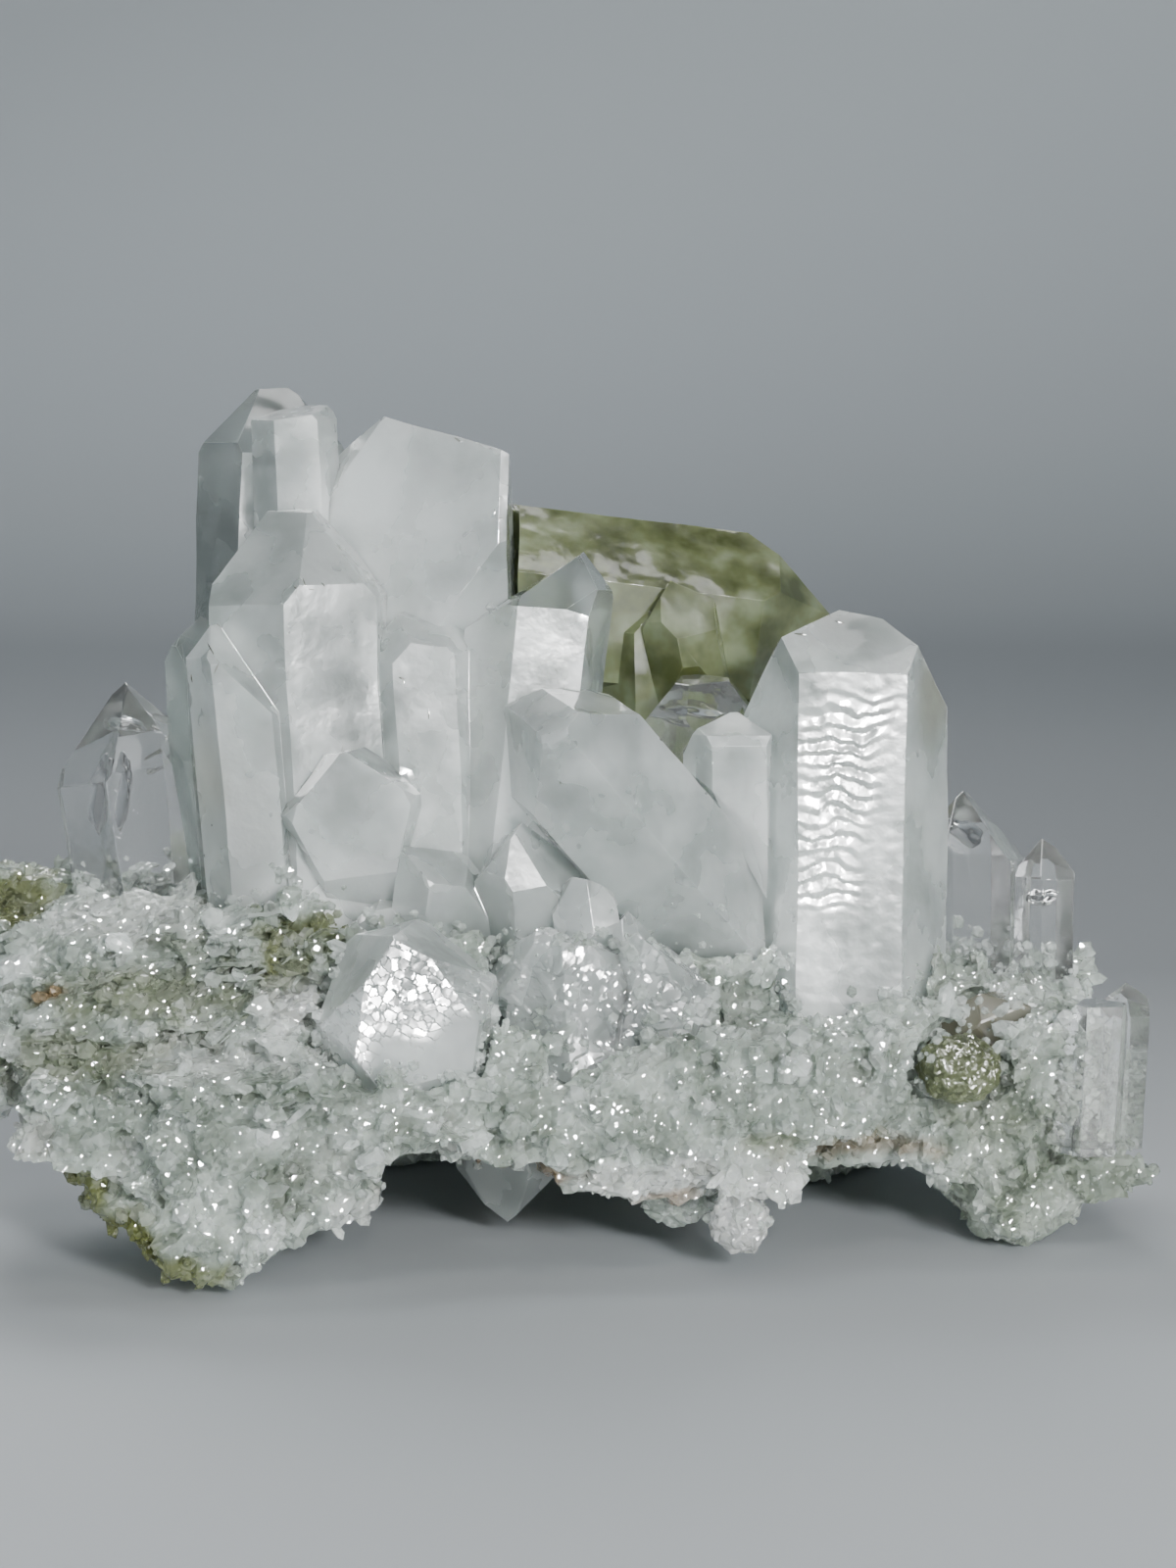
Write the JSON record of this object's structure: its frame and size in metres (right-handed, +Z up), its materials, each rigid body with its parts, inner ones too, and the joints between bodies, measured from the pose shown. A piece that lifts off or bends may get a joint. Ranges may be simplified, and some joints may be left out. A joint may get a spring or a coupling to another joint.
{
  "type": "quartz specimen",
  "caption": "Cluster of clear and milky quartz points, some leaning or lying, grown on a thin layered plate of green, sugary rock that stands on its own rough feet.",
  "frame": {"origin": "centre of the bounding box's bottom face, on the surface that the specimen rests on", "axes": "+X along the specimen's length, towards the single large upright crystal; +Y away from the viewer of its best side; +Z up, along the standing crystals"},
  "size_m": [0.0546, 0.0326, 0.0386],
  "materials": {
    "milky_quartz": "milky, glossy crystal faces",
    "clear_quartz": "clear, glossy crystal faces",
    "chlorite_quartz": "clouded with olive-green chlorite, glossy",
    "sugary_rock": "rough, sugary and glittering",
    "tan_quartz": "brown-stained, satin crystal faces",
    "white_nodule": "sugary white"
  },
  "bodies": {
    "root": {"right_crystal": "milky_quartz", "main_cluster": "milky_quartz", "left_clear_crystal": "clear_quartz", "right_clear_crystals": "clear_quartz", "edge_crystal": "clear_quartz", "small_middle_crystal": "milky_quartz", "small_clear_crystal": "clear_quartz", "green_crystal": "chlorite_quartz", "front_crystal": "milky_quartz", "mound_crystal": "milky_quartz", "hanging_crystal": "milky_quartz", "tan_crystal": "tan_quartz", "matrix": "sugary_rock", "white_nodule": "white_nodule", "green_nodule": "chlorite_quartz"}
  },
  "joints": []
}
